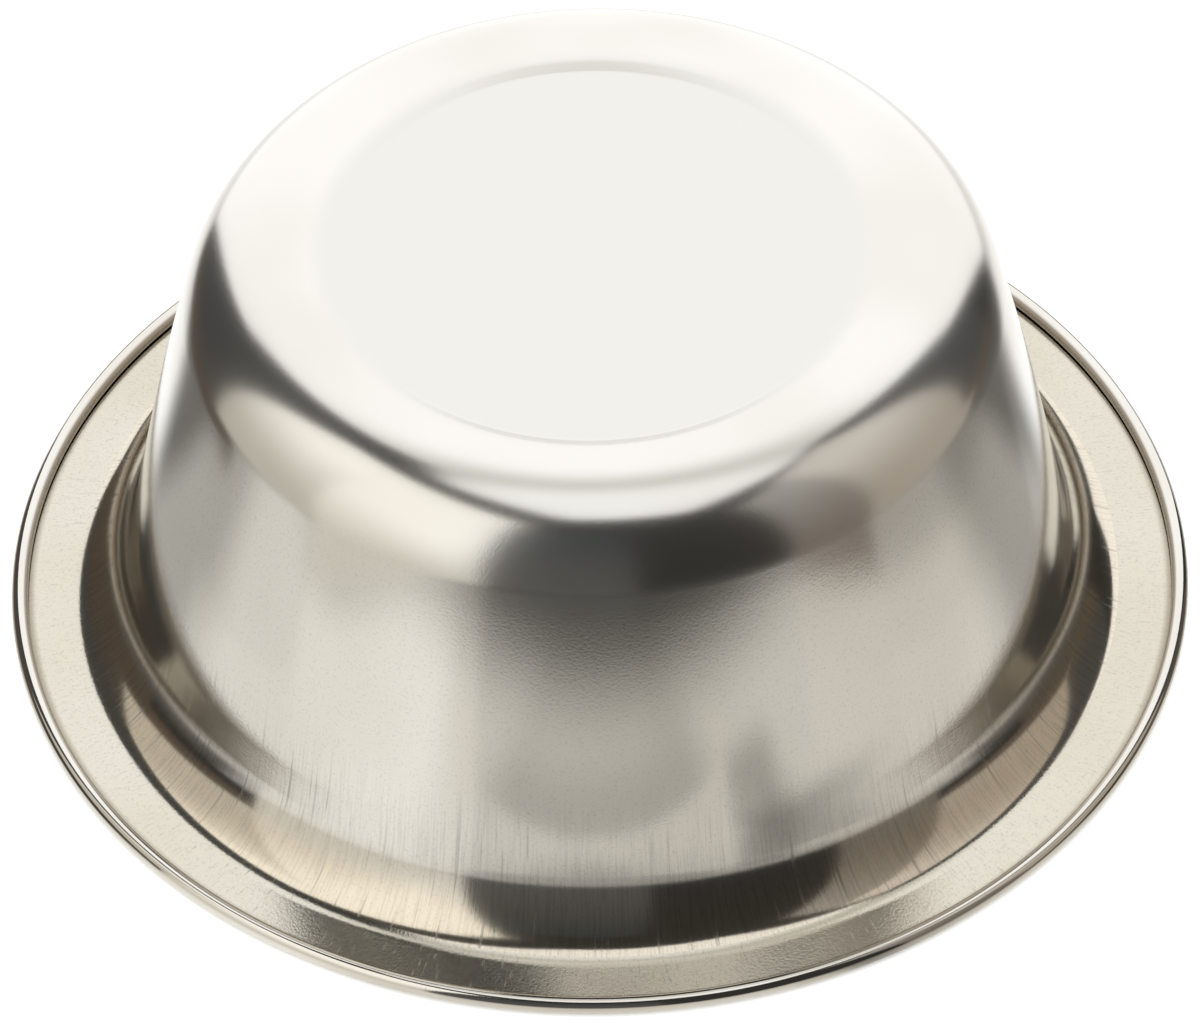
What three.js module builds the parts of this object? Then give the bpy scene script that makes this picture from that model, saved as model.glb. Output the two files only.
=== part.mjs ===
// Stainless steel pet bowl, lying upside down on its brim, as it is stacked and stored.
//
// The bowl is one disc of sheet, drawn into a base, a wall and a brim, with the edge rolled over into a bead.
// Millimetres, +Z up. The origin is the centre of the circle on which the brim lies, and +Z runs out of the base.
// Its shape is a chain of bends, each tangent to the next, that both faces of the sheet follow.

import * as THREE from 'three';

// Overall sizes
const RIM_DIAMETER = 180; // over the rolled edge
const HEIGHT = 71.5; // from the brim's face to the base ring
const SHEET = 0.6; // thickness of the metal

// Base: a narrow flat ring that the bowl stands on, round a sunk floor
const BASE_RING_DIAMETER = 91.5; // outer edge of the flat
const BASE_RING_WIDTH = 1.2;
const BASE_RING_EDGE_RADIUS = 8.5; // from the flat down into the recess
const RECESS_DEPTH = 1.6;
const RECESS_FLANK_DEG = 25; // slope of the step, from level
const RECESS_CORNER_RADIUS = 2.5; // from the step to the floor

// Wall: a shoulder below the base ring, a side that swells slightly, and the throat that turns out to the brim
const SHOULDER_RADIUS = 16.3;
const WALL_RADIUS = 580; // swell of the side, seen in section
const THROAT_RADIUS = 13.8;

// Brim and its rolled edge
const BRIM_WIDTH = 7.4; // from the bend into the throat to the start of the roll
const BRIM_SLOPE_DEG = 4; // fall towards the roll, from level
const BRIM_BEND_RADIUS = 7.4; // from the brim into the throat
const BRIM_BEND_DEG = 30.5; // slope, from level, at which the throat's wider arc takes over
const ROLL_DIAMETER = 2.5; // outside of the rolled edge
const ROLL_GAP = 0.3; // between the cut end of the sheet and the brim

// Flat faces stand for curves: how far they may stray from the curve, and how far one may turn from the next
const CHORD_ERROR = 0.1;
const LARGEST_TURN_DEG = 36;
const SAME_POINT = 0.001; // the end of one bend and the start of the next, where they meet

const LEVEL = Math.PI / 2; // direction of a normal that points straight up, from the radius

/** Unit vector in the section, at an angle from the radius. */
function direction(angle) {
  return new THREE.Vector2(Math.cos(angle), Math.sin(angle));
}

/** Angle of the way from one point of the section to another, from the radius, and below zero if it leads down. */
function angleBetween(start, end) {
  return Math.atan2(end.y - start.y, end.x - start.x);
}

/** Number of equal steps that keep an arc within the limits on its facets. */
function arcSteps(radius, sweep) {
  const chordTurn = 2 * Math.acos(1 - Math.min(CHORD_ERROR / radius, 1));
  const turn = Math.min(chordTurn, THREE.MathUtils.degToRad(LARGEST_TURN_DEG));
  return Math.ceil(Math.abs(sweep) / turn);
}

/**
 * Centre of the wall's arc: it touches the shoulder from outside and the throat from inside,
 * so it lies at known distances from both centres, on the side of the axis.
 */
function wallCentre(shoulder, throat) {
  const toShoulder = WALL_RADIUS - SHOULDER_RADIUS;
  const toThroat = WALL_RADIUS + THROAT_RADIUS;
  const line = throat.clone().sub(shoulder);
  const apart = line.length();
  const along = (toShoulder ** 2 - toThroat ** 2 + apart ** 2) / (2 * apart);
  const across = Math.sqrt(toShoulder ** 2 - along ** 2);
  line.normalize();
  const towardsAxis = new THREE.Vector2(line.y, -line.x);
  return shoulder.clone().addScaledVector(line, along).addScaledVector(towardsAxis, across);
}

/**
 * Bends of the sheet from the middle of the base to the cut edge. Each has a centre and turns the outer face's
 * normal from one angle to another. The radius is the outer face's own, and is negative where that face is hollow.
 */
function sheetBends() {
  const ringOuter = BASE_RING_DIAMETER / 2;
  const ringInner = ringOuter - BASE_RING_WIDTH;
  const rollRadius = ROLL_DIAMETER / 2;

  const flank = THREE.MathUtils.degToRad(RECESS_FLANK_DEG);
  const flankNormal = LEVEL + flank;
  const bendDrop = (BASE_RING_EDGE_RADIUS + RECESS_CORNER_RADIUS) * (1 - Math.cos(flank));
  const bendRun = (BASE_RING_EDGE_RADIUS + RECESS_CORNER_RADIUS) * Math.sin(flank);
  const flankRun = (RECESS_DEPTH - bendDrop) / Math.tan(flank);
  const floorEdge = ringInner - bendRun - flankRun;

  const corner = new THREE.Vector2(floorEdge, HEIGHT - RECESS_DEPTH + RECESS_CORNER_RADIUS);
  const ringEdge = new THREE.Vector2(ringInner, HEIGHT - BASE_RING_EDGE_RADIUS);
  const shoulder = new THREE.Vector2(ringOuter, HEIGHT - SHOULDER_RADIUS);

  const brimNormal = LEVEL - THREE.MathUtils.degToRad(BRIM_SLOPE_DEG);
  const bendNormal = LEVEL - THREE.MathUtils.degToRad(BRIM_BEND_DEG);
  const roll = new THREE.Vector2(RIM_DIAMETER / 2 - rollRadius, rollRadius);
  const bend = roll
    .clone()
    .addScaledVector(direction(brimNormal), SHEET - rollRadius + BRIM_BEND_RADIUS)
    .addScaledVector(direction(brimNormal + LEVEL), BRIM_WIDTH);
  const throat = bend.clone().addScaledVector(direction(bendNormal), THROAT_RADIUS - BRIM_BEND_RADIUS);
  const wall = wallCentre(shoulder, throat);

  const shoulderEnd = angleBetween(wall, shoulder);
  const throatStart = angleBetween(wall, throat);
  const rollEnd = brimNormal + 3 * LEVEL + Math.asin((rollRadius - SHEET - ROLL_GAP) / rollRadius);
  const quarters = [1, 2, 3, 4].map((turn) => turn * LEVEL).filter((angle) => angle < rollEnd);
  const rollStops = [brimNormal, ...quarters, rollEnd];
  const rollTurns = rollStops.slice(1).map((to, index) => {
    return { centre: roll, radius: SHEET - rollRadius, from: rollStops[index], to };
  });

  return [
    { centre: corner, radius: -RECESS_CORNER_RADIUS, from: LEVEL, to: flankNormal },
    { centre: ringEdge, radius: BASE_RING_EDGE_RADIUS, from: flankNormal, to: LEVEL },
    { centre: shoulder, radius: SHOULDER_RADIUS, from: LEVEL, to: shoulderEnd },
    { centre: wall, radius: WALL_RADIUS, from: shoulderEnd, to: throatStart },
    { centre: throat, radius: -THROAT_RADIUS, from: throatStart, to: bendNormal },
    { centre: bend, radius: -BRIM_BEND_RADIUS, from: bendNormal, to: brimNormal },
    ...rollTurns,
  ];
}

/** Section of the sheet: out along the outer face, round the cut edge and back along the inner face. */
function sheetSection() {
  const outer = [new THREE.Vector2(0, HEIGHT - RECESS_DEPTH)];
  const inner = [new THREE.Vector2(0, HEIGHT - RECESS_DEPTH - SHEET)];
  for (const { centre, radius, from, to } of sheetBends()) {
    const steps = arcSteps(Math.max(Math.abs(radius), Math.abs(radius - SHEET)), to - from);
    for (let step = 0; step <= steps; step += 1) {
      const normal = direction(from + ((to - from) * step) / steps);
      const face = centre.clone().addScaledVector(normal, radius);
      if (face.distanceTo(outer.at(-1)) < SAME_POINT) continue;
      outer.push(face);
      inner.push(face.clone().addScaledVector(normal, -SHEET));
    }
  }
  return [...inner, ...outer.reverse()];
}

/** Number of flats round the bowl, a multiple of eight, so that it is alike along X and Y. */
function flatsRound() {
  return 8 * Math.ceil(arcSteps(RIM_DIAMETER / 2, 2 * Math.PI) / 8);
}

function makeBowlShell() {
  const geometry = new THREE.LatheGeometry(sheetSection(), flatsRound());
  geometry.rotateX(Math.PI / 2);
  const material = new THREE.MeshStandardMaterial({ color: 0xc9c5ba, roughness: 0.28, metalness: 1 });
  const mesh = new THREE.Mesh(geometry, material);
  mesh.name = 'bowl_shell';
  return mesh;
}

const bowl = new THREE.Group();
bowl.name = 'pet_bowl';
bowl.add(makeBowlShell());

export default bowl;
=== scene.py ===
"""Studio picture of a stainless steel pet bowl that lies upside down on its brim.

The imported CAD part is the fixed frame. One piece is modelled here, the drawn sheet of the bowl: smoother than
the CAD solid, with a softer turn from the wall into the throat, and with the finish of drawn and polished
steel. Metres, +Z up, in the CAD's frame.
"""

import logging
import math
from dataclasses import dataclass
from enum import Enum

import bpy
from mathutils import Matrix, Vector


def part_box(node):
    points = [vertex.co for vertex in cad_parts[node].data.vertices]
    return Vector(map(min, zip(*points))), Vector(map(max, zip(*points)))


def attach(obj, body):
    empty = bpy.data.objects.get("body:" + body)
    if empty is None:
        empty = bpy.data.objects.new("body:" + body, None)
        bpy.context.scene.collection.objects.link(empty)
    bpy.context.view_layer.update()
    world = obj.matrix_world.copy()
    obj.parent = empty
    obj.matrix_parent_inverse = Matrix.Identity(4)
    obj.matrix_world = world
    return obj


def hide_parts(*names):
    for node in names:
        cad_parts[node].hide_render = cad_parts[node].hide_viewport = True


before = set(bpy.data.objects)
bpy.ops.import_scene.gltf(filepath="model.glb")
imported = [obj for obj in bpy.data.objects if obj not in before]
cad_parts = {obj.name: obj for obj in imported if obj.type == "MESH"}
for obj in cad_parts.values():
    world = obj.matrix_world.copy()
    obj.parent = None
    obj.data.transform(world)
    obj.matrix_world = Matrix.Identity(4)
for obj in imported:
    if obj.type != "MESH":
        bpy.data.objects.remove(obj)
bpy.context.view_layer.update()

LOG = logging.getLogger("pet_bowl")
PHOTO_WIDTH_PX = 1200
CAMERA_TARGET = (0.00026, 0.0, 0.0152)
SAME_POINT = 1e-6  # points of the sheet that are closer than this are one
DISC_LEVEL = -0.00005  # the floor and the table lie just under the bowl
DISC_VERTICES = 96

Colour = tuple[float, float, float]
Socket = bpy.types.NodeSocket
Value = Socket | float
DRAWN_STEEL: Colour = (0.725, 0.71, 0.68)
DRAWN_STAIN: Colour = (0.67, 0.65, 0.61)
# Painted shade: the dark brown of the shaded crevice between the brim and the rolled edge, laid into their
# colour.
PAINTED_CREVICE_SHADE: Colour = (0.15, 0.105, 0.06)
DIRT_SHARE = 0.3  # brightness of pits and scratches, as a share of the stain's

# Noise values between which a pattern comes up
LINE_TONE = (0.42, 0.66)
SCRATCHES = (0.62, 0.76)
PEBBLE_PITS = (0.52, 0.78)
CLOUDS = (0.3, 0.7)

# Heights above the brim, in metres, between which the skin of the sheet changes
THROAT_SMOOTHING = (0.0, 0.015)  # counted from the level that a finish gives
SHOULDER = (0.045, 0.064)
PRESSED_FLAT = (0.054, 0.066)


class Axis(Enum):
    """Parts of a vector, by the name of their socket."""

    X = "X"
    Y = "Y"
    Z = "Z"


class Zone(Enum):
    """Fields of the sheet that have a finish of their own, in the order of the piece's materials."""

    BASE = 0
    WALL = 1
    BRIM = 2
    ROLL = 3
    INSIDE = 4


class NodeSketch:
    """Short calls that add nodes to one tree and hand back their output sockets."""

    def __init__(self, tree: bpy.types.NodeTree) -> None:
        """Keep the tree that the nodes go to.

        Args:
            tree: A material's, world's or group's node tree.
        """
        self.tree = tree

    def add(self, kind: str, **settings: object) -> bpy.types.Node:
        """Add a node and set its properties.

        Args:
            kind: Blender's type name of the node.
            **settings: Properties of the node, by name.

        Returns:
            The new node.
        """
        node = self.tree.nodes.new(kind)
        for name, value in settings.items():
            setattr(node, name, value)
        return node

    def feed(self, socket: Socket, value: object) -> None:
        """Link a socket to an input, or set the input to a plain value.

        Args:
            socket: The input.
            value: An output socket, a number or a colour.
        """
        if isinstance(value, bpy.types.NodeSocket):
            self.tree.links.new(value, socket)
        elif isinstance(value, tuple) and socket.type == "RGBA":
            socket.default_value = (*value, 1.0)
        else:
            socket.default_value = value

    def math(self, operation: str, *values: Value) -> Socket:
        """Work out one number from others.

        Args:
            operation: Blender's name of the operation.
            *values: Sockets or numbers, in the node's order.

        Returns:
            The result.
        """
        node = self.add("ShaderNodeMath", operation=operation)
        for socket, value in zip(node.inputs, values):
            self.feed(socket, value)
        return node.outputs[0]

    def product(self, *values: Socket) -> Socket:
        """Multiply numbers.

        Args:
            *values: The numbers, at least one.

        Returns:
            Their product.
        """
        result = values[0]
        for value in values[1:]:
            result = self.math("MULTIPLY", result, value)
        return result

    def ramp(
        self, value: Value, start: Value, end: Value, low: Value = 0.0, high: Value = 1.0
    ) -> Socket:
        """Ease from one number to another as a value goes from start to end, and hold it outside them.

        Args:
            value: What is followed.
            start: Where the change begins.
            end: Where the change is complete.
            low: Result at the start.
            high: Result at the end.

        Returns:
            The eased number.
        """
        node = self.add("ShaderNodeMapRange", interpolation_type="SMOOTHSTEP", clamp=True)
        names = ("Value", "From Min", "From Max", "To Min", "To Max")
        for name, given in zip(names, (value, start, end, low, high)):
            self.feed(node.inputs[name], given)
        return node.outputs["Result"]

    def mix(self, share: Value, first: object, second: object) -> Socket:
        """Blend two colours.

        Args:
            share: How much of the second colour there is, from 0 to 1.
            first: A colour or a socket.
            second: A colour or a socket.

        Returns:
            The blended colour.
        """
        node = self.add("ShaderNodeMix", data_type="RGBA")
        self.feed(node.inputs["Factor"], share)
        self.feed(node.inputs[6], first)
        self.feed(node.inputs[7], second)
        return node.outputs[2]

    def blend(self, share: Value, first: Value, second: Value) -> Socket:
        """Blend two numbers.

        Args:
            share: How much of the second number there is, from 0 to 1.
            first: A number or a socket.
            second: A number or a socket.

        Returns:
            The blended number.
        """
        node = self.add("ShaderNodeMix", data_type="FLOAT")
        self.feed(node.inputs[0], share)
        self.feed(node.inputs[2], first)
        self.feed(node.inputs[3], second)
        return node.outputs[0]

    def split(self, space: str) -> dict[Axis, Socket]:
        """Where the shaded point is.

        Args:
            space: Coordinates to take, by the name of their socket.

        Returns:
            The socket of each coordinate.
        """
        node = self.add("ShaderNodeSeparateXYZ")
        self.feed(node.inputs[0], self.add("ShaderNodeTexCoord").outputs[space])
        return {axis: node.outputs[axis.value] for axis in Axis}

    def radius(self, space: str, centre: tuple[float, float] = (0.0, 0.0)) -> Socket:
        """How far the shaded point is from an upright line.

        Args:
            space: Coordinates to take, by the name of their socket.
            centre: Where the line stands, in these coordinates.

        Returns:
            The distance.
        """
        at = self.split(space)
        node = self.add("ShaderNodeVectorMath", operation="DISTANCE")
        self.feed(node.inputs[0], self.join(at[Axis.X], at[Axis.Y], 0.0))
        self.feed(node.inputs[1], (*centre, 0.0))
        return node.outputs["Value"]

    def join(self, x: Value, y: Value, z: Value) -> Socket:
        """Make a vector of three numbers.

        Args:
            x: First part.
            y: Second part.
            z: Third part.

        Returns:
            The vector.
        """
        node = self.add("ShaderNodeCombineXYZ")
        for socket, value in zip(node.inputs, (x, y, z)):
            self.feed(socket, value)
        return node.outputs[0]

    def noise(self, place: Socket, scale: Value, detail: float = 2.0, roughness: float = 0.5) -> Socket:
        """Smooth noise from 0 to 1.

        Args:
            place: Vector that the noise is read at.
            scale: How many blobs there are to a unit of the vector.
            detail: How many finer layers are added.
            roughness: Strength of the finer layers.

        Returns:
            The noise value.
        """
        node = self.add("ShaderNodeTexNoise", noise_dimensions="3D")
        self.feed(node.inputs["Vector"], place)
        self.feed(node.inputs["Scale"], scale)
        self.feed(node.inputs["Detail"], detail)
        self.feed(node.inputs["Roughness"], roughness)
        return node.outputs["Fac"]

    def bump(self, height: Socket, depth: float, below: Socket | None) -> Socket:
        """Tilt the surface by a height pattern.

        Args:
            height: The pattern, from 0 to 1.
            depth: How high 1 stands, in metres.
            below: Normal that the pattern is laid on, if it isn't the surface's own.

        Returns:
            The tilted normal.
        """
        node = self.add("ShaderNodeBump")
        self.feed(node.inputs["Distance"], depth)
        self.feed(node.inputs["Height"], height)
        if below is not None:
            self.feed(node.inputs["Normal"], below)
        return node.outputs["Normal"]


class Effect:
    """A shader node group of numbers, with named inputs and outputs, that several finishes share."""

    def __init__(self, name: str, inputs: tuple[str, ...], outputs: tuple[str, ...]) -> None:
        """Make the empty group.

        Args:
            name: Name of the group.
            inputs: Names of the inputs.
            outputs: Names of the outputs.
        """
        self.group = bpy.data.node_groups.new(name, "ShaderNodeTree")
        for label in inputs:
            self.group.interface.new_socket(label, in_out="INPUT", socket_type="NodeSocketFloat")
        for label in outputs:
            self.group.interface.new_socket(label, in_out="OUTPUT", socket_type="NodeSocketFloat")
        self.sketch = NodeSketch(self.group)
        self.given = self.sketch.add("NodeGroupInput").outputs
        self.result = self.sketch.add("NodeGroupOutput").inputs

    def place(self, sketch: NodeSketch, **values: float) -> bpy.types.NodeOutputs:
        """Put the group into a material.

        Args:
            sketch: The material's nodes.
            **values: The inputs' values in this material.

        Returns:
            The group's outputs.
        """
        node = sketch.add("ShaderNodeGroup", node_tree=self.group)
        for label, value in values.items():
            node.inputs[label].default_value = value
        return node.outputs


def around_axis(sketch: NodeSketch, lines: Value, drift: Value) -> Socket:
    """Coordinates that run round the bowl's axis without a seam, and change slowly along the sheet.

    Args:
        sketch: Nodes to add to.
        lines: How fine a pattern read there is round the axis.
        drift: How much it changes to a metre along the sheet.

    Returns:
        The vector to read a pattern at.
    """
    at = sketch.split("Object")
    angle = sketch.math("ARCTAN2", at[Axis.Y], at[Axis.X])
    along = sketch.math("SUBTRACT", sketch.radius("Object"), at[Axis.Z])
    return sketch.join(
        sketch.math("MULTIPLY", sketch.math("COSINE", angle), lines),
        sketch.math("MULTIPLY", sketch.math("SINE", angle), lines),
        sketch.math("MULTIPLY", along, drift),
    )


def draw_lines_effect() -> Effect:
    """Fine lines that the drawing tool leaves along the sheet, growing towards the brim, and a few scratches.

    Returns:
        The effect.
    """
    effect = Effect(
        "draw_lines", ("lines", "drift", "grow_from", "grow_to"), ("height", "tone", "scratches")
    )
    sketch, given = effect.sketch, effect.given
    place = around_axis(sketch, given["lines"], given["drift"])
    grown = sketch.ramp(sketch.split("Object")[Axis.Z], given["grow_from"], given["grow_to"])
    fine = sketch.noise(place, scale=1.0, detail=2.0, roughness=0.6)
    sparse = sketch.noise(place, scale=0.55, detail=1.0)
    patterns = {
        "height": fine,
        "tone": sketch.ramp(fine, *LINE_TONE),
        "scratches": sketch.ramp(sparse, *SCRATCHES),
    }
    for name, pattern in patterns.items():
        sketch.feed(effect.result[name], sketch.product(pattern, grown))
    return effect


def orange_peel_effect() -> Effect:
    """The pebbled skin of stretched sheet, which the tools have smoothed again at the throat and on the base.

    Returns:
        The effect.
    """
    effect = Effect("orange_peel", ("grain", "smooth_below"), ("height", "pits"))
    sketch, given = effect.sketch, effect.given
    place = sketch.add("ShaderNodeTexCoord").outputs["Object"]
    above_brim = sketch.split("Object")[Axis.Z]
    pebbles = sketch.noise(place, given["grain"], detail=1.0)
    level = sketch.math("SUBTRACT", above_brim, given["smooth_below"])
    height = sketch.product(
        pebbles,
        sketch.ramp(level, *THROAT_SMOOTHING, 0.2, 1.0),
        sketch.ramp(above_brim, *PRESSED_FLAT, 1.0, 0.5),
    )
    pits = sketch.product(
        sketch.ramp(pebbles, *PEBBLE_PITS), sketch.ramp(above_brim, *PRESSED_FLAT, 1.0, 0.0)
    )
    sketch.feed(effect.result["height"], height)
    sketch.feed(effect.result["pits"], pits)
    return effect


def unevenness_effect() -> Effect:
    """Slow waves of the sheet, which bend the reflections a little.

    Returns:
        The effect.
    """
    effect = Effect("unevenness", ("waves",), ("height", "cloud"))
    sketch = effect.sketch
    place = sketch.add("ShaderNodeTexCoord").outputs["Object"]
    waves = sketch.noise(place, effect.given["waves"], detail=1.5, roughness=0.35)
    sketch.feed(effect.result["height"], waves)
    sketch.feed(effect.result["cloud"], sketch.ramp(waves, *CLOUDS))
    return effect


@dataclass(frozen=True)
class Effects:
    """The effects that the steel finishes share."""

    draw_lines: Effect
    orange_peel: Effect
    unevenness: Effect


@dataclass(frozen=True)
class SteelFinish:
    """One finish of the stainless sheet. Heights are in metres, roughness and shades are from 0 to 1.

    The draw lines grow from none at the height grow_from to all at grow_to. The tint grows from none at the
    radius tint_from to its full share at tint_to. On the brim and the roll it is painted shade, dark in the
    crevice between them; on the wall it makes the throat warmer and darker, and on the base it makes the sunk
    floor darker.
    """

    name: str
    colour: Colour
    stain: Colour
    roughness: float
    lines: float = 140.0
    drift: float = 40.0
    grow_from: float = 0.045
    grow_to: float = 0.008
    line_height: float = 0.000004
    line_shade: float = 0.16
    scratch_shade: float = 0.3
    scratch_roughness: float = 0.1
    grain: float = 2500.0
    peel_height: float = 0.000008
    smooth_below: float = -1.0
    pit_shade: float = 0.1
    tint: float = 0.0
    tint_colour: Colour = PAINTED_CREVICE_SHADE
    tint_from: float = 0.0
    tint_to: float = 1.0
    shoulder_roughness: float = 0.0
    waves: float = 35.0
    wave_height: float = 0.00003

    def material(self, effects: Effects) -> bpy.types.Material:
        """Build the finish as a material.

        Args:
            effects: The shared node groups.

        Returns:
            The new material.
        """
        material = bpy.data.materials.new(self.name)
        material.use_nodes = True
        sketch = NodeSketch(material.node_tree)
        steel = material.node_tree.nodes["Principled BSDF"]
        steel.inputs["Metallic"].default_value = 1.0

        lines = effects.draw_lines.place(
            sketch, lines=self.lines, drift=self.drift, grow_from=self.grow_from, grow_to=self.grow_to
        )
        peel = effects.orange_peel.place(sketch, grain=self.grain, smooth_below=self.smooth_below)
        waves = effects.unevenness.place(sketch, waves=self.waves)
        shades = (
            (peel["pits"], self.pit_shade),
            (lines["tone"], self.line_shade),
            (lines["scratches"], self.scratch_shade),
        )
        dirty = tuple(part * DIRT_SHARE for part in self.stain)
        colour = sketch.mix(waves["cloud"], self.colour, self.stain)
        # By radius: painted crevice shade on the brim and the roll, a darker tone on the throat and the base's
        # sunk floor.
        tinted = sketch.ramp(sketch.radius("Object"), self.tint_from, self.tint_to, 0.0, self.tint)
        colour = sketch.mix(tinted, colour, self.tint_colour)
        for mask, shade in shades:
            colour = sketch.mix(sketch.math("MULTIPLY", mask, shade), colour, dirty)
        sketch.feed(steel.inputs["Base Color"], colour)

        above = self.roughness + self.shoulder_roughness
        skin = sketch.ramp(sketch.split("Object")[Axis.Z], *SHOULDER, self.roughness, above)
        scratched = sketch.math("MULTIPLY_ADD", lines["scratches"], self.scratch_roughness, skin)
        sketch.feed(steel.inputs["Roughness"], scratched)
        normal = sketch.bump(waves["height"], self.wave_height, None)
        normal = sketch.bump(lines["height"], self.line_height, normal)
        normal = sketch.bump(peel["height"], self.peel_height, normal)
        sketch.feed(steel.inputs["Normal"], normal)
        return material


FINISHES = {
    Zone.BASE: SteelFinish(
        name="pressed_base",
        colour=DRAWN_STEEL,
        stain=DRAWN_STAIN,
        roughness=0.2,
        line_height=0.0,
        line_shade=0.0,
        scratch_shade=0.0,
        pit_shade=0.0,
        tint=1.0,
        tint_colour=(0.66, 0.648, 0.616),
        tint_from=0.0435,
        tint_to=0.0395,
    ),
    Zone.WALL: SteelFinish(
        name="drawn_wall",
        colour=DRAWN_STEEL,
        stain=DRAWN_STAIN,
        roughness=0.13,
        lines=200.0,
        drift=90.0,
        grow_from=0.030,
        line_height=0.0000025,
        smooth_below=0.006,
        pit_shade=0.16,
        tint=1.0,
        tint_colour=(0.685, 0.62, 0.52),
        tint_from=0.0715,
        tint_to=0.0755,
        shoulder_roughness=0.07,
    ),
    Zone.BRIM: SteelFinish(
        name="satin_brim",
        colour=(0.61, 0.58, 0.505),
        stain=(0.58, 0.545, 0.46),
        roughness=0.13,
        lines=420.0,
        drift=600.0,
        line_height=0.000002,
        line_shade=0.05,
        scratch_shade=0.14,
        grow_from=0.0035,
        grow_to=0.0012,
        pit_shade=0.2,
        # Painted shade: the brim darkens towards crevice brown at its outer edge, next to the roll.
        tint=0.55,
        tint_from=0.0862,
        tint_to=0.0874,
    ),
    Zone.ROLL: SteelFinish(
        name="polished_edge",
        colour=(0.70, 0.68, 0.64),
        stain=(0.66, 0.63, 0.58),
        roughness=0.09,
        line_height=0.0,
        line_shade=0.0,
        scratch_shade=0.0,
        peel_height=0.000002,
        pit_shade=0.0,
        # Painted shade: the roll darkens towards crevice brown on its inner side, over the brim.
        tint=0.65,
        tint_from=0.0884,
        tint_to=0.0878,
    ),
    Zone.INSIDE: SteelFinish(
        name="satin_inside",
        colour=(0.68, 0.665, 0.63),
        stain=(0.66, 0.64, 0.60),
        roughness=0.22,
    ),
}


@dataclass(frozen=True)
class Bend:
    """An arc of the section: its face's normal turns from one angle to another about a centre, in radians."""

    centre: Vector
    radius: float
    start: float
    end: float

    def points(self, offset: float, turn: float) -> list[Vector]:
        """Points along the arc.

        Args:
            offset: How far below the outer face they lie.
            turn: Largest turn from one point to the next, in radians.

        Returns:
            The points, with both ends.
        """
        steps = max(1, math.ceil(abs(self.end - self.start) / turn))
        angles = [self.start + (self.end - self.start) * step / steps for step in range(steps + 1)]
        return [self.centre + (self.radius - offset) * direction(angle) for angle in angles]


def direction(angle: float) -> Vector:
    """Unit vector in the section, at an angle from the radius."""
    return Vector((math.cos(angle), math.sin(angle)))


def angle_between(start: Vector, end: Vector) -> float:
    """Angle of the way from one point of the section to another, from the radius."""
    return math.atan2(end.y - start.y, end.x - start.x)


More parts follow.
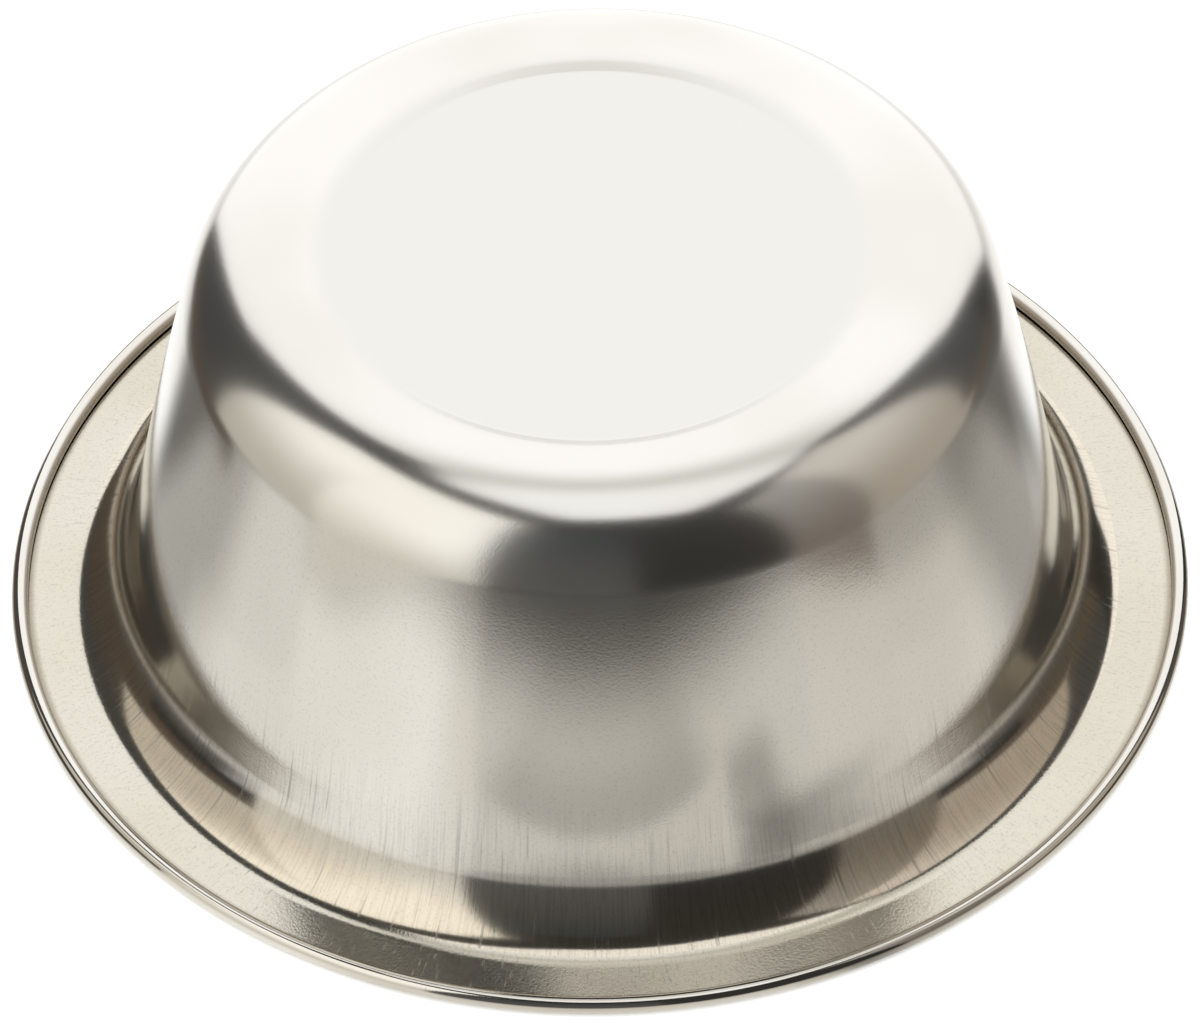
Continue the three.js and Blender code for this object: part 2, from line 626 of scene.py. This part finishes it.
@dataclass
class BowlShell:
    """The drawn sheet: sunk base with a standing ring, shoulder, wall, throat, brim and rolled edge.

    The section is a chain of arcs, each tangent to the next. Between the wall and the throat lies a wider arc,
    the wall's foot, which brings the outer face's normal up to foot_slope.
    """

    rim_radius: float
    height: float
    sheet: float = 0.0006
    ring_radius: float = 0.04575
    ring_width: float = 0.0012
    ring_edge_radius: float = 0.0085
    recess_depth: float = 0.0016
    recess_flank: float = math.radians(25)
    recess_corner_radius: float = 0.0025
    shoulder_radius: float = 0.0163
    wall_radius: float = 0.58
    foot_radius: float = 0.05
    foot_slope: float = math.radians(15.8)
    throat_radius: float = 0.0138
    brim_width: float = 0.0074
    brim_slope: float = math.radians(4)
    brim_bend_radius: float = 0.0074
    brim_bend: float = math.radians(30.5)
    roll_radius: float = 0.00125
    roll_gap: float = 0.0003
    slices: int = 256
    turn: float = math.radians(4)
    tight_turn: float = math.radians(10)
    wall_turn: float = math.radians(0.5)
    crease: float = math.radians(30)

    def wall_centre(self, shoulder: Vector, foot: Vector) -> Vector:
        """Centre of the wall's arc, which touches the shoulder from outside and the foot from inside.

        Args:
            shoulder: Centre of the shoulder's arc.
            foot: Centre of the arc that eases the wall into the throat.

        Returns:
            The centre, on the side of the axis.
        """
        to_shoulder = self.wall_radius - self.shoulder_radius
        to_foot = self.wall_radius + self.foot_radius
        line = foot - shoulder
        along = (to_shoulder**2 - to_foot**2 + line.length_squared) / (2 * line.length)
        across = math.sqrt(to_shoulder**2 - along**2)
        line.normalize()
        return shoulder + along * line + across * Vector((line.y, -line.x))

    def bends(self) -> list[tuple[Bend, float]]:
        """Bends of the outer face from the middle of the base to the cut edge.

        Returns:
            Each bend with the largest turn between its points.
        """
        level = math.pi / 2
        ring_inner = self.ring_radius - self.ring_width
        flank = self.recess_flank
        both = self.ring_edge_radius + self.recess_corner_radius
        flank_run = (self.recess_depth - both * (1 - math.cos(flank))) / math.tan(flank)
        floor_edge = ring_inner - both * math.sin(flank) - flank_run
        flank_normal = level + flank
        brim_normal = level - self.brim_slope
        bend_normal = level - self.brim_bend
        hollow = self.sheet - self.roll_radius

        corner = Vector((floor_edge, self.height - self.recess_depth + self.recess_corner_radius))
        ring_edge = Vector((ring_inner, self.height - self.ring_edge_radius))
        shoulder = Vector((self.ring_radius, self.height - self.shoulder_radius))
        roll = Vector((self.rim_radius - self.roll_radius, self.roll_radius))
        bend = roll + (hollow + self.brim_bend_radius) * direction(brim_normal)
        bend += self.brim_width * direction(brim_normal + level)
        throat = bend + (self.throat_radius - self.brim_bend_radius) * direction(bend_normal)
        foot = throat + (self.foot_radius - self.throat_radius) * direction(self.foot_slope)
        wall = self.wall_centre(shoulder, foot)

        shoulder_end = angle_between(wall, shoulder)
        foot_start = angle_between(wall, foot)
        roll_end = brim_normal + 3 * level + math.asin((-hollow - self.roll_gap) / self.roll_radius)
        quarters = [turn * level for turn in range(1, 5) if turn * level < roll_end]
        stops = [brim_normal, *quarters, roll_end]
        return [
            (Bend(corner, -self.recess_corner_radius, level, flank_normal), self.turn),
            (Bend(ring_edge, self.ring_edge_radius, flank_normal, level), self.turn),
            (Bend(shoulder, self.shoulder_radius, level, shoulder_end), self.turn),
            (Bend(wall, self.wall_radius, shoulder_end, foot_start), self.wall_turn),
            (Bend(foot, -self.foot_radius, foot_start, self.foot_slope), self.wall_turn),
            (Bend(throat, -self.throat_radius, self.foot_slope, bend_normal), self.turn),
            (Bend(bend, -self.brim_bend_radius, bend_normal, brim_normal), self.turn),
            *((Bend(roll, hollow, start, end), self.tight_turn) for start, end in zip(stops, stops[1:])),
        ]

    def section(self) -> list[Vector]:
        """Closed section of the sheet, as radius and height.

        Returns:
            Points from the axis along the inner face, round the cut edge and back along the outer face.
        """
        floor = self.height - self.recess_depth
        faces: list[list[Vector]] = []
        for depth in (self.sheet, 0.0):
            face = [Vector((0.0, floor - depth))]
            for bend, turn in self.bends():
                points = bend.points(depth, turn)
                face += [point for point in points if (point - face[-1]).length > SAME_POINT]
            faces.append(face)
        inner, outer = faces
        return inner + outer[::-1]

    def build(self) -> bpy.types.Object:
        """Draw the section and spin it round the axis.

        Returns:
            The bowl's object, at the origin.
        """
        points = self.section()
        bpy.ops.object.select_all(action="DESELECT")
        bpy.ops.mesh.primitive_plane_add(size=self.sheet, location=(0.0, 0.0, 0.0))
        shell = bpy.context.active_object
        shell.name = "drawn_bowl"
        shell.data.name = "drawn_bowl"
        bpy.ops.object.mode_set(mode="EDIT")
        bpy.ops.mesh.merge(type="CENTER")
        at = Vector((0.0, 0.0))
        for number, point in enumerate(points):
            step = (point.x - at.x, 0.0, point.y - at.y)
            if number == 0:
                bpy.ops.transform.translate(value=step)
            else:
                bpy.ops.mesh.extrude_region_move(TRANSFORM_OT_translate={"value": step})
            at = point
        bpy.ops.mesh.select_all(action="SELECT")
        bpy.ops.mesh.spin(
            steps=self.slices, angle=math.tau, center=(0.0, 0.0, 0.0), axis=(0.0, 0.0, 1.0)
        )
        bpy.ops.mesh.select_all(action="SELECT")
        bpy.ops.mesh.remove_doubles(threshold=SAME_POINT)
        bpy.ops.mesh.normals_make_consistent(inside=False)
        bpy.ops.object.mode_set(mode="OBJECT")
        bpy.ops.object.shade_smooth_by_angle(angle=self.crease)
        return shell

    def zone(self, place: Vector, normal: Vector) -> Zone:
        """Which field of the sheet a face lies in.

        Args:
            place: The face's middle.
            normal: The face's normal.

        Returns:
            The field.
        """
        radius = math.hypot(place.x, place.y)
        outward = (place.x * normal.x + place.y * normal.y) / max(radius, self.sheet)
        roll_start = self.rim_radius - 2 * self.roll_radius
        if radius > roll_start:
            return Zone.ROLL
        if outward + normal.z < 0:
            return Zone.INSIDE
        if radius < self.ring_radius:
            return Zone.BASE
        bend_start = roll_start + self.roll_radius - self.brim_width
        brim_start = bend_start - self.brim_bend_radius * math.sin(self.brim_bend) / 2
        return Zone.BRIM if radius > brim_start else Zone.WALL

    def dress(self, shell: bpy.types.Object, effects: Effects) -> None:
        """Give the bowl its finishes and its place in the frame.

        Args:
            shell: The bowl's object.
            effects: The shared node groups.
        """
        shell.data.materials.clear()
        for zone in Zone:
            shell.data.materials.append(FINISHES[zone].material(effects))
        for face in shell.data.polygons:
            face.material_index = self.zone(face.center, face.normal).value
        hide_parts("bowl_shell")
        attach(shell, "root")


@dataclass(frozen=True)
class Card:
    """A flat sheet of the light tent, which the steel mirrors.

    Its light changes from its lower to its upper edge, between two shares of that way.
    """

    name: str
    low_edge: tuple[Vector, Vector]
    high_edge: tuple[Vector, Vector]
    low_light: Colour
    high_light: Colour
    change: tuple[float, float] = (0.0, 1.0)

    def build(self) -> bpy.types.Object:
        """Hang the sheet where only the steel's reflections find it.

        Returns:
            The sheet's object.
        """
        bpy.ops.object.select_all(action="DESELECT")
        bpy.ops.mesh.primitive_plane_add(size=1.0, location=(0.0, 0.0, 0.0))
        card = bpy.context.active_object
        card.name = self.name
        for vertex, corner in zip(card.data.vertices, (*self.low_edge, *self.high_edge)):
            vertex.co = corner
        material = bpy.data.materials.new(self.name)
        material.use_nodes = True
        material.node_tree.nodes.clear()
        sketch = NodeSketch(material.node_tree)
        lamp = sketch.add("ShaderNodeEmission")
        height = sketch.ramp(sketch.split("UV")[Axis.Y], *self.change)
        sketch.feed(lamp.inputs["Color"], sketch.mix(height, self.low_light, self.high_light))
        sketch.feed(sketch.add("ShaderNodeOutputMaterial").inputs["Surface"], lamp.outputs[0])
        card.data.materials.append(material)
        mirrored_only(card)
        return card


def mirrored_only(thing: bpy.types.Object) -> None:
    """Hide a stage object from everything but reflections.

    Args:
        thing: The object.
    """
    thing.visible_camera = False
    thing.visible_diffuse = False
    thing.visible_shadow = False
    thing.visible_transmission = False


def lay_disc(name: str, radius: float) -> bpy.types.Object:
    """Lay a round sheet under the bowl.

    Args:
        name: Name of the sheet.
        radius: How far it reaches.

    Returns:
        The sheet's object.
    """
    bpy.ops.object.select_all(action="DESELECT")
    bpy.ops.mesh.primitive_circle_add(
        vertices=DISC_VERTICES, radius=radius, fill_type="NGON", location=(0.0, 0.0, DISC_LEVEL)
    )
    disc = bpy.context.active_object
    disc.name = name
    return disc


def side_edge(
    x: float, front: float, back: float, z_front: float, z_back: float
) -> tuple[Vector, Vector]:
    """An edge that runs beside the bowl, from the camera's end to the far end."""
    return Vector((x, front, z_front)), Vector((x, back, z_back))


def cross_edge(left: float, right: float, y: float, z: float) -> tuple[Vector, Vector]:
    """An edge that runs across behind, before or above the bowl."""
    return Vector((left, y, z)), Vector((right, y, z))


@dataclass(frozen=True)
class Fade:
    """A number that eases from low to high between two places, and holds outside them."""

    start: float
    end: float
    low: float = 0.0
    high: float = 1.0

    def along(self, sketch: NodeSketch, way: Socket) -> Socket:
        """The number at a place along a way."""
        return sketch.ramp(way, self.start, self.end, self.low, self.high)


@dataclass(frozen=True)
class TableLight:
    """Light that the table gives back to the steel, by the place on the table, in metres.

    There is more on the left and behind, less beside the bowl and at both sides, and none far in front. Before
    the bowl lie a round patch that is dim inside its rim, a dim band across it, and a dim corner at the right.
    """

    left: Colour = (1.15, 1.13, 1.065)
    beside: Colour = (1.03, 1.01, 0.945)
    right: Colour = (0.91, 0.875, 0.805)
    back: Colour = (1.18, 1.17, 1.15)
    dark: Colour = (0.068, 0.067, 0.062)
    to_beside: Fade = Fade(-0.085, -0.03)
    to_right: Fade = Fade(0.0, 0.024)
    right_slant: float = -0.65
    to_back: Fade = Fade(-0.092, -0.06)
    back_slant: float = -1.2
    patch_centre: tuple[float, float] = (-0.010, -0.197)
    patch_middle: Fade = Fade(0.050, 0.084, 1.33, 1.0)
    patch_rim: Fade = Fade(0.0912, 0.0955, 0.66, 1.5)
    patch_side: Fade = Fade(0.03, 0.05)
    band_slant: float = 0.57
    band_left: Fade = Fade(-0.027, -0.019)
    band_right: Fade = Fade(-0.008, 0.006, 1.0, 0.0)
    band_front: Fade = Fade(-0.130, -0.112, 0.0, 0.42)
    corner_near: Fade = Fade(0.099, 0.110, 1.0, 0.0)
    corner_left: Fade = Fade(0.033, 0.040, 0.0, 0.5)
    corner_rear: Fade = Fade(-0.086, -0.066, 1.0, 0.0)
    far_front: Fade = Fade(-0.232, -0.135)
    far_left: Fade = Fade(-0.155, -0.12)
    far_left_rear: Fade = Fade(-0.10, -0.06, 0.55, 1.0)
    far_right: Fade = Fade(0.13, 0.16, 1.0, 0.58)
    bowl_front: Fade = Fade(-0.036, -0.006, 1.0, 0.53)
    bowl_rear: Fade = Fade(0.015, 0.036, 1.0, 0.28)
    grazing: Fade = Fade(0.62, 0.82, 1.0, 0.12)
    grazing_rear: Fade = Fade(-0.062, -0.046)

    def before_bowl(self, sketch: NodeSketch, x: Socket, y: Socket) -> tuple[Socket, ...]:
        """How much light the patch, the band and the corner before the bowl leave.

        Args:
            sketch: Nodes of the table's material.
            x: Place across the table.
            y: Place along the table.

        Returns:
            A share for each of them.
        """
        out = sketch.radius("Object", self.patch_centre)
        patch = sketch.product(self.patch_middle.along(sketch, out), self.patch_rim.along(sketch, out))
        across = sketch.math("MULTIPLY_ADD", y, self.band_slant, x)
        band = sketch.product(
            self.band_left.along(sketch, across),
            self.band_right.along(sketch, across),
            self.band_front.along(sketch, y),
        )
        corner = sketch.product(
            self.corner_near.along(sketch, sketch.radius("Object")),
            self.corner_left.along(sketch, x),
            self.corner_rear.along(sketch, y),
        )
        return (
            sketch.blend(self.patch_side.along(sketch, sketch.math("ABSOLUTE", x)), patch, 1.0),
            sketch.math("SUBTRACT", 1.0, band),
            sketch.math("SUBTRACT", 1.0, corner),
        )

    def round_about(self, sketch: NodeSketch, x: Socket, y: Socket) -> tuple[Socket, ...]:
        """How much light is left towards the table's ends, beside the bowl and at a grazing look.

        Args:
            sketch: Nodes of the table's material.
            x: Place across the table.
            y: Place along the table.

        Returns:
            A share for each of them.
        """
        weight = sketch.add("ShaderNodeLayerWeight")
        sketch.feed(weight.inputs["Blend"], 0.5)
        grazed = self.grazing.along(sketch, weight.outputs["Facing"])
        return (
            self.far_front.along(sketch, y),
            sketch.blend(self.far_left.along(sketch, x), self.far_left_rear.along(sketch, y), 1.0),
            self.far_right.along(sketch, x),
            self.bowl_front.along(sketch, y),
            self.bowl_rear.along(sketch, y),
            sketch.blend(self.grazing_rear.along(sketch, y), 1.0, grazed),
        )

    def colour(self, sketch: NodeSketch) -> Socket:
        """Work out the light at the shaded point.

        Args:
            sketch: Nodes of the table's material.

        Returns:
            The light's colour.
        """
        at = sketch.split("Object")
        x, y = at[Axis.X], at[Axis.Y]
        left = sketch.mix(self.to_beside.along(sketch, y), self.left, self.beside)
        slanted = sketch.math("MULTIPLY_ADD", y, self.right_slant, x)
        level = sketch.mix(self.to_right.along(sketch, slanted), left, self.right)
        share = sketch.product(*self.before_bowl(sketch, x, y), *self.round_about(sketch, x, y))
        before = sketch.mix(share, self.dark, level)
        slanted = sketch.math("MULTIPLY_ADD", sketch.math("ABSOLUTE", x), self.back_slant, y)
        return sketch.mix(self.to_back.along(sketch, slanted), before, self.back)


@dataclass
class LightTent:
    """Cards round the bowl that its steel mirrors, and a glossy table under it.

    Pale cards with shelves at their feet stand on the left and right. A white sweep behind leans over to a light
    above, and a grey card stands far in front.
    """

    left: float = -0.15
    right: float = 0.15
    top: float = 0.30
    white: Colour = (1.36, 1.36, 1.36)
    lamp: Colour = (1.23, 1.23, 1.22)
    seam: Colour = (0.80, 0.79, 0.74)
    table_reach: float = 0.45
    table_light: TableLight = TableLight()

    def side_cards(self) -> tuple[Card, ...]:
        """The cards beside the bowl with their shelves, and the dim gaps between them and the sweep.

        Returns:
            The cards.
        """
        left, right = self.left, self.right
        return (
            Card(
                "left_front",
                low_edge=side_edge(left, -0.30, -0.075, 0.0, 0.0),
                high_edge=side_edge(left, -0.30, -0.075, 0.53, 0.313),
                low_light=(0.82, 0.785, 0.70),
                high_light=(1.36, 1.33, 1.25),
                change=(0.0, 0.5),
            ),
            Card(
                "left_card",
                low_edge=side_edge(left, -0.075, 0.015, 0.028, 0.028),
                high_edge=side_edge(left, -0.075, -0.010, 0.313, 0.25),
                low_light=(0.67, 0.64, 0.565),
                high_light=(1.36, 1.33, 1.25),
                change=(0.08, 0.65),
            ),
            Card(
                "left_shelf",
                low_edge=side_edge(left, -0.075, 0.015, 0.028, 0.028),
                high_edge=side_edge(left - 0.15, -0.11, 0.10, 0.028, 0.028),
                low_light=(0.69, 0.66, 0.585),
                high_light=(0.69, 0.66, 0.585),
            ),
            Card(
                "left_shelf_underside",
                low_edge=side_edge(left, -0.075, 0.015, 0.027, 0.027),
                high_edge=side_edge(left - 0.15, -0.11, 0.10, 0.027, 0.027),
                low_light=(0.12, 0.092, 0.073),
                high_light=(0.10, 0.077, 0.061),
            ),
            Card(
                "left_gap",
                low_edge=side_edge(left - 0.002, 0.0, 0.17, 0.0, 0.0),
                high_edge=side_edge(left - 0.002, -0.05, 0.17, self.top, self.top),
                low_light=(0.10, 0.08, 0.063),
                high_light=(0.075, 0.074, 0.073),
                change=(0.06, 0.2),
            ),
            Card(
                "right_card",
                low_edge=side_edge(right, -0.085, 0.004, 0.022, 0.022),
                high_edge=side_edge(right, -0.085, -0.012, 0.29, 0.29),
                low_light=(0.50, 0.45, 0.385),
                high_light=(0.82, 0.775, 0.715),
                change=(0.1, 0.65),
            ),
            Card(
                "right_shelf",
                low_edge=side_edge(right, -0.085, 0.004, 0.022, 0.022),
                high_edge=side_edge(right + 0.15, -0.12, 0.09, 0.022, 0.022),
                low_light=(0.53, 0.48, 0.415),
                high_light=(0.53, 0.48, 0.415),
            ),
            Card(
                "right_shelf_underside",
                low_edge=side_edge(right, -0.085, 0.004, 0.021, 0.021),
                high_edge=side_edge(right + 0.15, -0.12, 0.09, 0.021, 0.021),
                low_light=(0.14, 0.113, 0.09),
                high_light=(0.12, 0.097, 0.077),
            ),
            Card(
                "right_grey",
                low_edge=side_edge(right, -0.165, -0.085, 0.0, 0.0),
                high_edge=side_edge(right, -0.165, -0.085, 0.29, 0.29),
                low_light=(0.22, 0.19, 0.16),
                high_light=(0.46, 0.445, 0.42),
            ),
            Card(
                "right_gap",
                low_edge=side_edge(right + 0.06, -0.02, 0.10, 0.0, 0.0),
                high_edge=side_edge(right + 0.06, -0.02, 0.10, self.top, self.top),
                low_light=(0.12, 0.10, 0.08),
                high_light=(0.085, 0.084, 0.083),
                change=(0.06, 0.2),
            ),
        )

    def cross_cards(self) -> tuple[Card, ...]:
        """The sweep behind the bowl, the light above it and the grey card before it.

        Returns:
            The cards.
        """
        foot = cross_edge(-0.15, 0.20, 0.165, 0.02)
        bend = cross_edge(-0.155, 0.192, 0.075, 0.15)
        head = cross_edge(-0.088, 0.14, 0.015, self.top)
        lamp_middle = cross_edge(-0.105, 0.14, -0.045, self.top)
        lamp_front = cross_edge(-0.03, 0.085, -0.148, self.top)
        return (
            Card("sweep", foot, bend, self.white, self.white),
            Card("back_sheet", bend, head, self.white, self.seam, change=(0.35, 1.0)),
            Card("lamp_rear", lamp_middle, head, self.lamp, self.seam),
            Card("lamp_front", lamp_front, lamp_middle, self.lamp, self.lamp),
            Card(
                "front_grey",
                low_edge=cross_edge(-0.22, 0.05, -0.35, -0.05),
                high_edge=cross_edge(-0.22, 0.05, -0.35, 0.45),
                low_light=(0.114, 0.110, 0.104),
                high_light=(0.058, 0.066, 0.069),
            ),
        )

    def table(self) -> bpy.types.Object:
        """Lay the glossy table.

        Returns:
            The table's object.
        """
        table = lay_disc("glossy_table", self.table_reach)
        material = bpy.data.materials.new("glossy_table")
        material.use_nodes = True
        sketch = NodeSketch(material.node_tree)
        gloss = material.node_tree.nodes["Principled BSDF"]
        sketch.feed(gloss.inputs["Base Color"], (0.0, 0.0, 0.0))
        # The table's glow is painted light and shade: what a lit table, with the bowl's shadow near it, would
        # give back to the steel.
        sketch.feed(gloss.inputs["Emission Color"], self.table_light.colour(sketch))
        sketch.feed(gloss.inputs["Emission Strength"], 1.0)
        sketch.feed(gloss.inputs["Specular IOR Level"], 0.0)
        sketch.feed(gloss.inputs["Coat Weight"], 1.0)
        sketch.feed(gloss.inputs["Coat Roughness"], 0.06)
        sketch.feed(gloss.inputs["Coat IOR"], 1.7)
        table.data.materials.append(material)
        mirrored_only(table)
        return table

    def build(self) -> list[bpy.types.Object]:
        """Hang the cards and lay the table.

        Returns:
            All objects of the tent.
        """
        cards = [card.build() for card in (*self.side_cards(), *self.cross_cards())]
        return [*cards, self.table()]


@dataclass
class Studio:
    """White floor and surroundings, and the light tent round the bowl."""

    tent: LightTent
    dark_room: Colour = (0.042, 0.040, 0.037)
    backdrop: Colour = (1.0, 1.0, 1.0)
    dome: Colour = (1.9, 1.9, 1.9)
    floor_radius: float = 6.0
    floor_colour: Colour = (0.9, 0.895, 0.88)

    def light(self) -> None:
        """Make the world: white for the camera, a soft dome for the floor and a dark room for the steel."""
        world = bpy.data.worlds.new("studio")
        bpy.context.scene.world = world
        world.use_nodes = True
        world.node_tree.nodes.clear()
        sketch = NodeSketch(world.node_tree)
        path = sketch.add("ShaderNodeLightPath").outputs
        colour = sketch.mix(path["Is Glossy Ray"], self.dome, self.dark_room)
        background = sketch.add("ShaderNodeBackground")
        sketch.feed(background.inputs["Color"], sketch.mix(path["Is Camera Ray"], colour, self.backdrop))
        sketch.feed(sketch.add("ShaderNodeOutputWorld").inputs["Surface"], background.outputs[0])

    def lay_floor(self) -> bpy.types.Object:
        """Lay the wide pale floor that the camera sees.

        Returns:
            The floor's object.
        """
        floor = lay_disc("floor", self.floor_radius)
        material = bpy.data.materials.new("pale_floor")
        material.use_nodes = True
        paper = material.node_tree.nodes["Principled BSDF"]
        paper.inputs["Base Color"].default_value = (*self.floor_colour, 1.0)
        paper.inputs["Roughness"].default_value = 1.0
        paper.inputs["Specular IOR Level"].default_value = 0.0
        floor.data.materials.append(material)
        floor.visible_glossy = False
        return floor

    def build(self) -> list[bpy.types.Object]:
        """Light the studio and set up everything that isn't part of the bowl.

        Returns:
            The floor and all objects of the tent.
        """
        self.light()
        stage = [self.lay_floor(), *self.tent.build()]
        return stage


@dataclass
class PhotoCamera:
    """The camera of the photograph: a long lens that looks down at the bowl."""

    target: Vector
    distance: float = 1.8
    elevation: float = math.radians(45.27)
    roll: float = math.radians(-1.246)
    focal_px: float = 11817.0
    sensor: float = 36.0

    def build(self) -> None:
        """Make the camera and give it to the scene."""
        data = bpy.data.cameras.new("photo_camera")
        data.sensor_fit = "HORIZONTAL"
        data.sensor_width = self.sensor
        data.lens = self.focal_px * self.sensor / PHOTO_WIDTH_PX
        camera = bpy.data.objects.new("photo_camera", data)
        bpy.context.scene.collection.objects.link(camera)
        back = Vector((0.0, -math.cos(self.elevation), math.sin(self.elevation)))
        above = Vector((0.0, math.sin(self.elevation), math.cos(self.elevation)))
        side = Vector((1.0, 0.0, 0.0))
        right = math.cos(self.roll) * side + math.sin(self.roll) * above
        up = math.cos(self.roll) * above - math.sin(self.roll) * side
        place = Matrix((right, up, back)).transposed().to_4x4()
        place.translation = self.target + self.distance * back
        camera.matrix_world = place
        bpy.context.scene.camera = camera


def main() -> None:
    """Build the bowl, the studio and the camera."""
    logging.basicConfig(level=logging.INFO, format="%(name)s: %(message)s")
    bpy.context.scene.view_settings.view_transform = "Standard"
    effects = Effects(draw_lines_effect(), orange_peel_effect(), unevenness_effect())

    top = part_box("bowl_shell")[1]
    bowl = BowlShell(rim_radius=top.x, height=top.z)
    shell = bowl.build()
    bowl.dress(shell, effects)
    LOG.info("%s: %d faces, rides on root", shell.name, len(shell.data.polygons))

    studio = Studio(LightTent())
    LOG.info("studio: %d stage objects", len(studio.build()))
    PhotoCamera(target=Vector(CAMERA_TARGET)).build()


if __name__ == "__main__":
    main()
